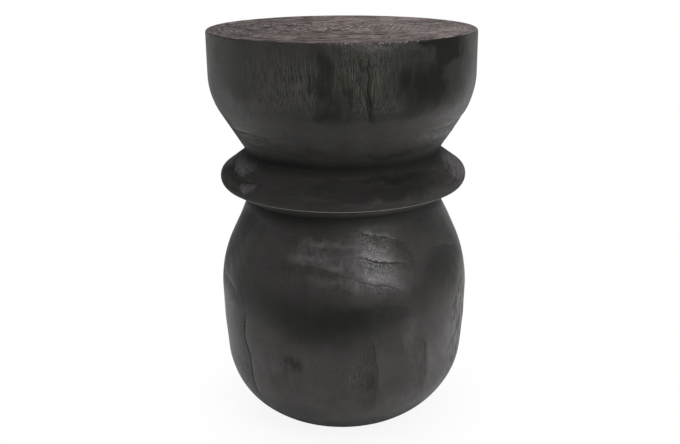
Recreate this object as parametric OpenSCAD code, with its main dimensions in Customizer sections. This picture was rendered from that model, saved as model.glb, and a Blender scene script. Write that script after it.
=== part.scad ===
// Round wooden stool: three turned blocks on one centre dowel, on four nailed glides.
// Millimetres, Z up, origin on the floor under the middle of the stool.

/* [Overall] */
// Height from the floor to the seat face
stool_h = 450; // [400:1:520]
// Diameter at the bottom of both grooves, where the blocks meet
neck_d = 216; // [196:1:226]

/* [Seat block] */
// Diameter of the seat
seat_d = 294; // [270:1:330]
// Height from the upper groove to the seat face
seat_h = 133; // [122:1:150]
// Radius of the worn edge round the seat face
seat_edge_r = 3; // [1:0.5:8]
// Height from the seat face to where the upright side starts to turn in
seat_wall_h = 48; // [30:1:58]
// Radius where the upright side turns in to the sloping bowl
bowl_r = 75; // [40:1:80]

/* [Collar] */
// Height between the two grooves
collar_h = 53; // [46:1:65]
// Diameter at the widest place of the rolled edge
collar_d = 277; // [258:1:300]
// Slope of the upper face, in degrees from level
collar_slope = 36; // [30:1:42]
// Radius of the rolled edge
collar_edge_r = 12; // [6:0.5:16]
// How far the rolled edge turns under, in degrees below level
collar_roll = 48; // [30:1:60]

/* [Base block] */
// Diameter at the widest place
base_d = 284; // [262:1:310]
// Lean of the straight shoulder under the lower groove, in degrees from upright
shoulder_lean = 25; // [20:1:30]
// Radius where the shoulder turns upright
shoulder_r = 142; // [60:1:180]
// How far the side draws in from the widest place down to the heel
side_taper = 4; // [1:0.5:10]
// Height of the heel, where the side turns under to the foot
heel_h = 78; // [50:1:95]
// Diameter of the flat foot
foot_d = 154; // [130:1:190]

/* [Centre dowel] */
// Diameter of the dowel
dowel_d = 40; // [25:1:50]
// Length of the dowel inside the seat block
dowel_in_seat = 80; // [40:1:100]
// Length of the dowel inside the base block
dowel_in_base = 90; // [40:1:140]
// Chamfer on both ends of the dowel
dowel_chamfer = 3; // [1:0.5:6]
// Gap for glue around the dowel, on the radius
dowel_glue = 0.1; // [0.05:0.05:0.3]
// Gap for glue past each end of the dowel
dowel_end_gap = 0.8; // [0.3:0.1:0.9]

/* [Glides] */
// Diameter of a glide
glide_d = 22; // [16:1:28]
// Height of a glide, which is how far the wood stands off the floor
glide_h = 4; // [3:0.5:8]
// Distance from a glide's side to the edge of the foot
glide_inset = 10; // [4:1:20]
// Radius of the rounded lower rim of a glide
glide_rim_r = 1; // [0.5:0.25:1.5]

/* [Nails] */
// Diameter of a nail's shank
nail_d = 2.5; // [2:0.1:3.5]
// Length of a nail under its head
nail_l = 18; // [12:1:30]
// Diameter of a nail's flat head
nail_head_d = 6; // [5:0.5:8]
// Thickness of a nail's head
nail_head_h = 0.8; // [0.5:0.1:1.2]
// Length of a nail's point
nail_point_l = 4; // [2:0.5:5]
// Gap round a nail, on the radius
nail_gap = 0.05; // [0.02:0.01:0.2]
// How far a nail's head lies above the floor
nail_head_up = 0.8; // [0.4:0.1:1.2]

/* [Hidden] */

GLIDES = 4;
TURN_FN = 96;
NAIL_FN = 48;
ARC_STEP = 3;

neck_r = neck_d / 2;
base_h = stool_h - seat_h - collar_h - glide_h;
collar_z = glide_h + base_h;
seat_z = collar_z + collar_h;
dowel_bottom = collar_z - dowel_in_base;
dowel_l = dowel_in_base + collar_h + dowel_in_seat;
glide_ring_r = foot_d / 2 - glide_inset - glide_d / 2;
nail_bore_d = nail_d + 2 * nail_gap;
nail_seat_z = nail_head_up + nail_head_h;

// Points along an arc, from one angle to another, about every ARC_STEP degrees
function arc(centre, r, from, to) =
    let (steps = ceil(abs(to - from) / ARC_STEP))
    [for (i = [0:steps])
        let (a = from + (to - from) * i / steps)
        centre + r * [cos(a), sin(a)]];

function dot(a, b) = a[0] * b[0] + a[1] * b[1];

// The direction, in degrees, from a circle's centre to where a line from the point below touches it
function touch_angle(point, centre, r) =
    let (v = point - centre)
    atan2(v[1], v[0]) + acos(r / norm(v));

// The radius of an arc that leaves start square to the direction n and ends at finish
function bend_radius(start, finish, n) =
    let (v = start - finish)
    dot(v, v) / (2 * dot(n, v));

// Outline of the seat block, up from the groove: sloping bowl, upright side, worn edge, face
function seat_outline() =
    let (
        r = seat_d / 2,
        neck = [neck_r, 0],
        bowl = [r - bowl_r, seat_h - seat_wall_h],
        edge = [r - seat_edge_r, seat_h - seat_edge_r]
    )
    concat(
        [[0, 0], neck],
        arc(bowl, bowl_r, touch_angle(neck, bowl, bowl_r), 0),
        arc(edge, seat_edge_r, 0, 90),
        [[0, seat_h]]
    );

// Outline of the collar, down from the upper groove: sloping face, rolled edge, cone below
function collar_outline() =
    let (
        edge_x = collar_d / 2 - collar_edge_r,
        fall = (collar_edge_r + (edge_x - neck_r) * sin(collar_slope)) / cos(collar_slope),
        edge = [edge_x, collar_h - fall]
    )
    concat(
        [[0, collar_h], [neck_r, collar_h]],
        arc(edge, collar_edge_r, 90 - collar_slope, -collar_roll),
        [[neck_r, 0], [0, 0]]
    );

// Outline of the base block, down from the lower groove: shoulder, belly, heel, flat foot
function base_outline() =
    let (
        r = base_d / 2,
        inner = r - shoulder_r - neck_r,
        fall = (shoulder_r + inner * cos(shoulder_lean)) / sin(shoulder_lean),
        widest = [r, base_h - fall],
        heel = [r - side_taper, heel_h],
        foot = [foot_d / 2, 0],
        side_r = bend_radius(widest, heel, [1, 0]),
        side_turn = asin((widest[1] - heel[1]) / side_r),
        square = [cos(side_turn), -sin(side_turn)],
        heel_r = bend_radius(heel, foot, square),
        heel_centre = heel - heel_r * square,
        heel_end = atan2(foot[1] - heel_centre[1], foot[0] - heel_centre[0])
    )
    concat(
        [[0, base_h], [neck_r, base_h]],
        arc(widest - [shoulder_r, 0], shoulder_r, shoulder_lean, 0),
        arc(widest - [side_r, 0], side_r, 0, -side_turn),
        arc(heel_centre, heel_r, -side_turn, heel_end),
        [[0, 0]]
    );

module turned(outline) {
    rotate_extrude($fn = TURN_FN) polygon(outline);
}

// One copy at each glide's place
module at_glides() {
    for (i = [1:GLIDES]) at_glide(i) children();
}

module at_glide(i) {
    rotate([0, 0, 360 / GLIDES * (i - 0.5)]) translate([glide_ring_r, 0, 0]) children();
}

// The hole that the centre dowel needs, from end to end through all three blocks
module dowel_bore() {
    translate([0, 0, dowel_bottom - dowel_end_gap])
        cylinder(d = dowel_d + 2 * dowel_glue, h = dowel_l + 2 * dowel_end_gap, $fn = TURN_FN);
}

module seat_block() {
    color([0.20, 0.17, 0.17]) difference() {
        translate([0, 0, seat_z]) turned(seat_outline());
        dowel_bore();
    }
}

module collar_disc() {
    color([0.15, 0.15, 0.14]) difference() {
        translate([0, 0, collar_z]) turned(collar_outline());
        dowel_bore();
    }
}

module base_block() {
    color([0.18, 0.18, 0.17]) difference() {
        translate([0, 0, glide_h]) turned(base_outline());
        dowel_bore();
        at_glides() translate([0, 0, nail_seat_z])
            cylinder(d = nail_bore_d, h = nail_l + nail_gap, $fn = NAIL_FN);
    }
}

module centre_dowel() {
    r = dowel_d / 2;
    color([0.72, 0.55, 0.36]) translate([0, 0, dowel_bottom]) turned([
        [0, 0], [r - dowel_chamfer, 0], [r, dowel_chamfer],
        [r, dowel_l - dowel_chamfer], [r - dowel_chamfer, dowel_l], [0, dowel_l]
    ]);
}

// A disc with a rounded lower rim and a hole that lets the nail's head in
module glide_pad(i) {
    rim = [glide_d / 2 - glide_rim_r, glide_rim_r];
    color([0.11, 0.10, 0.09]) at_glide(i) difference() {
        rotate_extrude($fn = TURN_FN) polygon(concat(
            [[0, glide_h], [0, 0]], arc(rim, glide_rim_r, -90, 0), [[glide_d / 2, glide_h]]));
        translate([0, 0, -1]) cylinder(d = nail_bore_d, h = glide_h + 2, $fn = NAIL_FN);
        translate([0, 0, -1]) cylinder(d = nail_head_d + 2 * nail_gap, h = nail_seat_z + 1, $fn = NAIL_FN);
    }
}

module glide_nail() {
    r = nail_d / 2;
    translate([0, 0, nail_head_up]) rotate_extrude($fn = NAIL_FN) polygon([
        [0, 0], [nail_head_d / 2, 0], [nail_head_d / 2, nail_head_h], [r, nail_head_h],
        [r, nail_head_h + nail_l - nail_point_l], [0, nail_head_h + nail_l]
    ]);
}

module glide_nails() {
    color("silver") at_glides() glide_nail();
}

seat_block();
collar_disc();
base_block();
centre_dowel();
glide_pad(1);  // glide_pad_1
glide_pad(2);  // glide_pad_2
glide_pad(3);  // glide_pad_3
glide_pad(4);  // glide_pad_4
glide_nails();
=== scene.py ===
"""A round wooden stool, finished in a near-black stain on wire-brushed wood.

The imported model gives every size. This add-on dresses it: the three turned blocks get growth rings and
open grain in relief, drying checks and worn edges, and the dowel, glides and nails get their finishes.
"""

import math
from dataclasses import dataclass

import bpy
import numpy as np
from mathutils import Matrix, Vector, noise


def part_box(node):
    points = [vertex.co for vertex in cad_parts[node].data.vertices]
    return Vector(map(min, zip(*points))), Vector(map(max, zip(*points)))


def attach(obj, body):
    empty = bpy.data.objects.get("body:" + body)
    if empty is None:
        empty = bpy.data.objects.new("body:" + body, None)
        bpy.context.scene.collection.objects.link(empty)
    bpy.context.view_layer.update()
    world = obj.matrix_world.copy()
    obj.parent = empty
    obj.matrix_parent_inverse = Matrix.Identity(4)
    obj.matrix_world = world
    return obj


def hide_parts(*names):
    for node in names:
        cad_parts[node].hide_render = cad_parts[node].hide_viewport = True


bl_info = {
    "name": "Turned Wooden Stool",
    "version": (1, 0, 0),
    "blender": (4, 5, 0),
    "location": "3D View > Sidebar > Stool",
    "description": "Dresses a turned wooden stool with brushed grain, checks and worn edges",
    "category": "Object",
}

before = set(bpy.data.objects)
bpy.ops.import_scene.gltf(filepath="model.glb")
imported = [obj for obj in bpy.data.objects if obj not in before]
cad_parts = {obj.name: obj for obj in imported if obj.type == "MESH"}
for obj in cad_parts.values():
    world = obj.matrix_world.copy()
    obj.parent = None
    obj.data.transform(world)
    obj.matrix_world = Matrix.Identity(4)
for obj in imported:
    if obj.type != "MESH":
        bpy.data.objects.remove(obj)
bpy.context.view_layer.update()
BODY = "root"
MM = 0.001

# Anything nearer the axis than this is a bore or a nail hole, not the turned outline
CORE_RADIUS = 60 * MM
# Two outline segments that meet at more than this angle form an edge, and so does a tight arc
EDGE_ANGLE = math.radians(12)
EDGE_RADIUS = 5 * MM
# Rows crowd near an edge: how many times more there are, and within what reach
EDGE_CROWD = 3.0
EDGE_REACH = 2 * MM
# Faces that meet at more than this angle keep a sharp edge between them
SMOOTH_LIMIT = math.radians(50)
SEAT_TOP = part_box("seat_block")[1].z
# Mesh detail: columns round a block, and how they crowd near a check or thin out towards the axis
COLUMNS = 512
FOCUS_GAIN = 2.5
FOCUS_SPREAD = 4.0
CROWDED = 0.62
MAX_STRIDE = 32
HIDDEN_STRIDE = 8
HIDDEN_SPACING = 14 * MM
FINE_SPACING = 0.25 * MM
SEAT_SPACING = 1.5 * MM
FACE_SPACING = 1.4 * MM
COLLAR_SPACING = 1.1 * MM
BASE_SPACING = 1.9 * MM
# The seat face's colour turns over the rim down to this tilt
RIM_TILT = 0.8

# Carving is worked out in mm. The relief fades out this far from a joint, so that the blocks still meet
JOINT_FADE = 5
# The seat face's relief fades out this far from the rim, and furrows this far from any edge
RIM_FADE = 4
FURROW_FADE = 7
# How far from the bottom of the crease at a joint the shade painted into it reaches
GROOVE_SHADE_REACH = 13
# How broad the widest waves in the growth rings are
BROAD_WAVE = 70
# Width and length of the places where rings fade, of furrows, of torn fibre and of the broad unevenness
RING_PLACE = (40, 40)
FURROW = (4.5, 90)
TORN_FIBRE = (3, 15)
UNEVEN = (55, 80)
# How patches wander, in degrees round the side and in mm up it: how far, and a noise's width, length, shift
STRAY_ROUND = ((4.5, 16, 34, 20), (2.5, 5, 14, 27))
STRAY_UP = ((5, 20, 20, 31), (3, 6, 9, 35))
# Rings are wider near the pith, by so many years fewer within this reach, and oval from front to back
YOUNG_YEARS = 2.8
YOUNG_REACH = 26
OVAL = 0.78
# A check or the edge of a lifted layer runs out over this length at its ends, and wanders this far
PATH_FADE = 14
CHECK_WANDER = 0.5
LAYER_WANDER = 1.1
# How far above a lifted layer's edge the wood is rubbed smooth, and how soft the edge is on that side
RUBBED_REACH = 6
LEDGE_SOFT = 2
# The crisp line of painted shade along a lifted layer's edge is drawn this near to it
LEDGE_NEAR = 2
LEDGE_FAR = 5
# Torn fibre: how deep it goes, and how strongly shade is painted into it, as into a check
BARK_DEPTH = 0.9
BARK_SHADE = 0.56
# The top of the block falls to the right over this height below the seat face
SLOPE_REACH = 60

# Specular level of brushed, stained wood, which is duller than varnish
WOOD_GLOSS = 0.35
# Width and length of the finish's marks on the sides, and of the chips along a worn edge
CHIP = 2 * MM
BLOTCH = (28 * MM, 50 * MM)
COOL_PATCH = (45 * MM, 30 * MM)
MOTTLE = (6 * MM, 10 * MM)
STROKE = (1.3 * MM, 10 * MM)
TURNING_LINE = (16 * MM, 1.2 * MM)
# The same on the seat face: round the pith in radians and outwards in years, and then in metres
FACE_STREAK = (0.17, 0.8)
FACE_STROKE = (0.28, 1.8)
FACE_BAND = (0.4, 2.4)
FACE_PIT = (1.1 * MM, 3 * MM)
FACE_CLOUD = (50 * MM, 50 * MM)
FIGURE = (7 * MM, 1.0)
# The same on the smaller pieces, and how high up a glide its scuffs reach
BEECH_PORE = (0.7 * MM, 5 * MM)
BEECH_TONE = (8 * MM, 90 * MM)
SCUFF = (0.8 * MM, 0.8 * MM)
SCUFF_HEIGHT = 0.5 * MM
NYLON_TONE = (3 * MM, 3 * MM)
DRAWN_LINE = (0.25 * MM, 6 * MM)
STEEL_TONE = (2 * MM, 4 * MM)
# Second colours of the smaller pieces
PALE_BEECH = (0.60, 0.42, 0.25, 1.0)
BEECH_FLECK = (0.26, 0.13, 0.055, 1.0)
SCUFFED_NYLON = (0.10, 0.095, 0.09, 1.0)
DULL_STEEL = (0.38, 0.37, 0.36, 1.0)
# The stage
WHITE = (1.0, 1.0, 1.0, 1.0)
PALE_PAPER = (0.88, 0.88, 0.88, 1.0)
DARK_PAPER = (0.05, 0.05, 0.05, 1.0)
SHOULDER_HEIGHT = 0.22
SOFTBOX_DISTANCE = 1.5
FLOOR_RADIUS = 6.0
FLOOR_SIDES = 64


def number_of(name, description, default, low, high, **kind):
    """A setting that is a number, with its unit or subtype where one fits."""
    return bpy.props.FloatProperty(
        name=name, description=description, default=default, min=low, max=high, **kind)


def length_of(name, description, default, low=0.1 * MM, high=20 * MM):
    """A setting that is a length in metres."""
    return number_of(name, description, default, low, high, precision=5, unit="LENGTH")


def colour_of(name, description, default):
    """A setting that is a colour."""
    return bpy.props.FloatVectorProperty(
        name=name, description=description, default=default, min=0.0, max=1.0, size=3, subtype="COLOR")


def angle_of(name, description, degrees, low=0.0, high=1.5):
    """A setting that is an angle, with its default in degrees."""
    return number_of(name, description, math.radians(degrees), low, high, subtype="ANGLE")


class StoolGrain(bpy.types.PropertyGroup):
    """The wood's growth rings, pores and relief."""

    ring_width: length_of("Ring width", "Mean width of one year's growth", 6.0 * MM, 2.0 * MM, 15.0 * MM)
    face_relief: length_of(
        "Seat face relief", "How deep the soft wood is brushed out of the seat face", 0.9 * MM, 0.0, 3 * MM)
    side_relief: length_of(
        "Side relief", "How deep the soft wood is brushed out of the turned sides", 0.35 * MM, 0.0, 3 * MM)
    pore_width: length_of("Pore width", "Width of one open pore or pit", 0.85 * MM, high=10 * MM)
    pore_length: length_of(
        "Pore length", "Length of one open pore or pit up the side", 0.85 * MM, high=200 * MM)
    streak_width: length_of("Streak width", "Width of a brushed streak", 1.0 * MM)
    streak_length: length_of(
        "Streak length", "Length of a brushed streak up the side", 22 * MM, 1 * MM, 400 * MM)


class StoolStain(bpy.types.PropertyGroup):
    """The colours of the stain and of the smaller pieces."""

    side: colour_of("Side", "Stain on the turned sides", (0.020, 0.0195, 0.0165))
    collar_thin: colour_of("Collar, thin", "Where the stain is thin on the collar", (0.022, 0.020, 0.018))
    base_thin: colour_of("Base, thin", "Where the stain is thin on the base block", (0.039, 0.0345, 0.032))
    side_thin: colour_of(
        "Side, thin stain", "Stain where it lies thin on the turned sides", (0.036, 0.035, 0.029))
    side_streak: colour_of(
        "Side, streaks", "Stain brushed thin along the grain of the sides", (0.074, 0.072, 0.050))
    face: colour_of("Seat face", "Stain on the seat face", (0.091, 0.069, 0.066))
    # Also painted light: the pale tone patches of the seat face show in this colour
    face_ridge: colour_of(
        "Seat face, ridges", "Stain rubbed thin on the seat face's ridges", (0.33, 0.26, 0.245))
    side_cool: colour_of("Side, cool", "Stain that dried to a purplish black", (0.027, 0.023, 0.026))
    # Also painted shade: the dark tone patches of the seat face, such as its left side, show in this colour
    face_dark: colour_of(
        "Seat face, dark", "Dark heartwood under the stain of the seat face", (0.028, 0.016, 0.015))
    # Also painted light: the pale tone patches of the sides, highlights and reflections among them, show in
    # this colour
    bare: colour_of("Side, rubbed", "Stain rubbed back to a purplish grey", (0.092, 0.086, 0.086))
    face_red: colour_of(
        "Seat face, red", "Reddish wood that shows through the stain of the seat face",
        (0.085, 0.050, 0.046))
    # Also the colour of painted shade: in the joints' creases, checks, torn fibre, lifted layers' edges and
    # dark tone patches
    deep: colour_of("Deep stain", "Stain gathered in pores, checks and lines", (0.006, 0.006, 0.005))
    worn: colour_of("Worn edge", "Wood that shows where an edge has lost its stain", (0.24, 0.22, 0.20))
    dowel: colour_of("Dowel", "Plain beech", (0.45, 0.29, 0.15))
    glide: colour_of("Glide", "Moulded nylon", (0.02, 0.017, 0.015))
    nail: colour_of("Nail", "Bright steel", (0.55, 0.55, 0.56))


class StoolStudio(bpy.types.PropertyGroup):
    """The camera, the lamp and the light from all round."""

    camera_distance: length_of(
        "Camera distance", "From the stool's axis to the camera, level", 0.984, 0.5, 5.0)
    camera_height: length_of("Camera height", "Of the camera over the seat face", 0.0955, 0.0, 2.0)
    camera_side: length_of(
        "Camera offset", "Of the camera to the left of the stool's axis", 4.0 * MM, 0.0, 0.1)
    camera_roll: angle_of("Camera roll", "How far the camera leans to its right", 0.61, -0.2, 0.2)
    camera_pitch: angle_of("Camera pitch", "How far the camera looks down", 17.95)
    lens: number_of("Lens", "Focal length on a 36 mm sensor", 47.12, 20.0, 200.0, unit="CAMERA")
    surround: number_of("Surround", "Strength of the light from all round", 0.8, 0.0, 2.0)
    softbox: number_of(
        "Softbox power", "Power of the large lamp to the front right", 11.0, 0.0, 200.0, unit="POWER")
    softbox_size: length_of("Softbox size", "Side of the square lamp", 0.65, 0.1, 3.0)
    softbox_azimuth: angle_of(
        "Softbox azimuth", "Round the stool, from the camera's side to the right", 33, -3.2, 3.2)
    softbox_rise: angle_of("Softbox rise", "Of the lamp over the shoulder, seen from the stool", 22)


@dataclass
class Check:
    """A drying crack: its path down the side as (azimuth, height), half its width, and its depth."""

    path: tuple
    half_width: float
    depth: float


@dataclass
class Step:
    """The edge of a lifted layer: its path, its height, how far the side that is sunk left of it or
    below it reaches, and how dark the line of painted shade along it is. A path runs down the side or
    to the right round it."""

    path: tuple
    height: float
    reach: float
    line: float = 1.0


@dataclass
class Wood:
    """How one block's wood grew, dried and wore, in mm and degrees, with heights from the block's foot up.

    A patch is (azimuth, height, half width, half height, strength), or on the seat face (x, y, half width,
    half height, strength). A tone is pale above 0 and dark below it. Tones are partly stain that differs
    from place to place and partly painted light and shade: painted highlights, painted reflections and
    painted shade. A bulge's strength is its height.
    A knot is (x, y, size, push) and bends the rings. Swell is how far broad waves bend them too, and ripple
    is the share of finer waves. Lean is how far the pith drifts to the right and back per mm up. Wear is
    how wide a worn edge is. Sway is how far the block strays to the right, as (height, shift) pairs. Slope
    is how fast its top falls to the right.
    """

    pith: tuple
    pith_height: float
    lean: tuple
    swell: float
    shift: float
    ripple: float
    wear: float
    ringed: tuple
    worn: tuple = ()
    knots: tuple = ()
    checks: tuple = ()
    steps: tuple = ()
    streaky: tuple = ()
    furrowed: tuple = ()
    tones_and_painted_light: tuple = ()
    bulges: tuple = ()
    pitted: tuple = ()
    barky: tuple = ()
    face_tones_and_painted_light: tuple = ()
    face_ringed: tuple = ()
    sway: tuple = ((0.0, 0.0),)
    slope: float = 0.0


# Azimuths run from the side that faces the camera, 0, towards the right
SEAT_WOOD = Wood(
    pith=(-15, 8), pith_height=133, lean=(0.06, -0.05), swell=9, shift=3.1, ripple=0.32, wear=0.6,
    slope=0.005,
    # The first worn patch, at the front of the rim, is partly wear and partly a painted glint of the lamp
    worn=((14, 132, 17, 20, 1.3), (75, 132, 14, 20, 0.3), (160, 132, 40, 20, 0.8)),
    ringed=((-48, 28, 26, 16, 0.8), (58, 33, 28, 18, 0.7), (170, 33, 60, 20, 0.8)),
    knots=((-55, 8, 17, 17), (60, 45, 22, -11)),
    checks=(
        Check(((8.2, 119), (9.8, 101), (9.2, 87), (10.4, 71), (9.8, 47)), 0.7, 0.8),
        Check(((163, 135), (166, 98), (165, 68)), 0.8, 2)),
    steps=(
        Step(((-74, 32), (-52, 33), (-32, 31.5)), 0.5, 12, 0.4),
        Step(((38, 35), (60, 39), (84, 43)), 0.4, 12, 0.3),
        Step(((-170, 35), (-140, 32), (-120, 34)), 0.5, 12, 0.5)),
    streaky=((8, 93, 27, 37, 1), (-28, 93, 20, 34, 0.55), (150, 91, 45, 36, 1), (-125, 88, 22, 34, 0.8)),
    furrowed=((4, 93, 24, 36, 0.6), (150, 88, 30, 34, 0.8)),
    # Some of these are painted light and shade, as the pale right edge; the rest is stain
    tones_and_painted_light=(
        (-8, 107, 4.8, 26, -0.85, 2), (-8, 71, 4.2, 18, -0.6, 2), (45, 121, 6, 12, -1.6, 2),
        (41, 129.5, 9, 4.5, -1.2), (42, 104, 6, 8, -0.35), (26, 12, 22, 5, -0.6), (-48, 65, 8, 14, 0.4),
        (2, 88, 5, 30, -0.2), (9.7, 69, 0.9, 14, -0.45), (53, 91, 5, 18, -0.35), (38, 51, 16, 8, 0.35),
        (14, 19, 12, 5, 0.3), (36, 130, 10, 4, -1), (53, 121, 5, 12, -0.6), (46, 81, 17, 40, -0.35),
        (27, 95, 8, 40, -0.65), (38, 85, 9, 32, -0.55), (-3.5, 75, 2.5, 26, -0.4), (46, 57, 14, 10, 0.4),
        (9.6, 79, 1.1, 22, -0.4), (27, 120, 9, 5, -0.3), (16, 119, 16, 10, 0.28), (18, 81, 14, 32, -0.25),
        (1, 81, 1.8, 22, -0.6), (41, 83, 4, 22, -0.25), (0, 18, 60, 7, -0.45), (-15, 81, 4, 14, 0.25),
        # (14, 129.5, 14, 3.5, 0.9) below is a painted glint where the lamp catches the front of the rim
        (-20, 116, 6, 12, 0.2), (14, 129.5, 14, 3.5, 0.9), (-70, 38, 14, 20, -0.6),
        (-58, 71, 8, 14, 0.35), (66, 69, 13, 18, 0.65), (52, 30, 16, 9, 0.8), (-45, 75, 6, 11, -0.4),
        (-62, 111, 6, 14, -0.3), (0, 59, 44, 6, -0.35), (-80, 88, 15, 40, 0.45), (-56, 95, 7, 20, 0.2),
        (-27, 95, 17, 28, 0.32), (22, 124, 12, 4, 0.3), (74, 98, 14, 34, 0.65), (-45, 49, 22, 14, 0.35),
        (-38, 68, 10, 12, 0.25), (62, 47, 26, 14, 0.4), (5, 41, 20, 6, 0.2), (-40, 30, 18, 7, 0.3),
        (-150, 93, 14, 40, -0.5), (120, 43, 20, 15, 0.4)),
    bulges=((80, 35, 40, 20, 1.1),),
    pitted=((16, 121, 30, 14, 1), (62, 113, 14, 20, 0.7), (170, 113, 60, 20, 0.6)),
    # Partly painted light and shade: the face is painted darker to the left, away from the lamp, and paler
    # at the back
    face_tones_and_painted_light=(
        (-95, -14, 12, 26, -0.7), (-112, 10, 42, 110, -0.9), (-40, 60, 50, 30, -0.2),
        (-115, -45, 16, 30, -0.3), (-63, -3, 16, 26, -0.5), (-42, -66, 16, 9, -0.6),
        (-58, -85, 15, 10, 0.8), (78, 84, 24, 14, 0.6), (48, 42, 30, 12, 0.4), (88, -74, 20, 14, 0.35),
        (-13, -95, 40, 14, 0.12), (-32, 8, 9, 22, -0.45), (60, -14, 44, 50, 0.35), (25, 70, 85, 40, 0.4),
        (-12, 8, 20, 34, 0.25), (-8, 20, 14, 30, 0.2), (112, -50, 26, 60, 0.45), (132, -20, 12, 50, 0.4),
        (40, 115, 95, 34, 0.8), (0, 30, 50, 60, 0.25), (106, 58, 18, 16, -0.55), (118, -14, 12, 26, 0.3),
        (38, -102, 30, 16, 0.3), (-50, 80, 40, 16, 0.15), (10, -60, 26, 9, -0.35)),
    face_ringed=(
        (-18, 8, 34, 60, 1.3), (-62, 0, 22, 50, 0.9), (110, -10, 40, 70, -0.4), (-125, 0, 18, 80, 0.5)))

COLLAR_WOOD = Wood(
    pith=(-4, 20), pith_height=26, lean=(0.1, 0.05), swell=7, shift=11.7, ripple=0.12, wear=0.9,
    worn=((0, 15, 190, 10, 1.6),),
    ringed=((-62, 41, 26, 14, 0.9), (62, 38, 24, 16, 0.9), (160, 36, 50, 20, 0.9)),
    steps=(
        Step(((-88, 47), (-67, 38.5), (-57, 37), (-50, 36), (-38, 36.5)), 0.7, 6, 0.5),
        Step(((-86, 54.5), (-70, 47.5), (-58, 44), (-46, 43.5)), 0.5, 5, 0.5),
        Step(((48, 29.5), (56, 30), (65, 33.5), (74, 40), (86, 46)), 0.6, 6, 0.4),
        Step(((54, 38), (64, 40.5), (76, 48), (86, 53)), 0.4, 5, 0.4),
        Step(((150, 42), (175, 37), (200, 40)), 0.5, 7)),
    # Some of these are painted reflection: the pale patches at the left and right edges and at (-47, 31.5)
    tones_and_painted_light=(
        (-47, 31.5, 6.5, 5.5, 0.85, 2), (62, 36, 13, 10, 0.3), (-75, 51, 12, 5, 0.9),
        (-74, 39.5, 5, 4, -0.5), (-66, 24, 16, 4, -0.4), (82, 36, 14, 12, 0.85), (-8, 42, 10, 4, -0.4),
        (20, 39, 9, 2, 0.3), (14, 23, 14, 3, 0.4), (48, 24, 12, 4, 0.3), (20, 43, 12, 3, -0.4),
        (4, 31, 36, 14, -0.55), (32, 37, 22, 10, -0.45), (36, 44.5, 18, 5, -0.55), (-62, 46, 12, 6, 0.7),
        (80, 50, 12, 6, 0.9), (72, 35, 8, 5, 0.35), (14, 12, 22, 6, 0.5), (-62, 36, 16, 3, -0.5),
        (-74, 32, 8, 6, -0.3), (-72, 44, 14, 8, 0.2), (-15, 30, 8, 3, 0.4), (-30, 36, 6, 4, 0.12),
        (100, 31, 20, 15, -0.4)))

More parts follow.
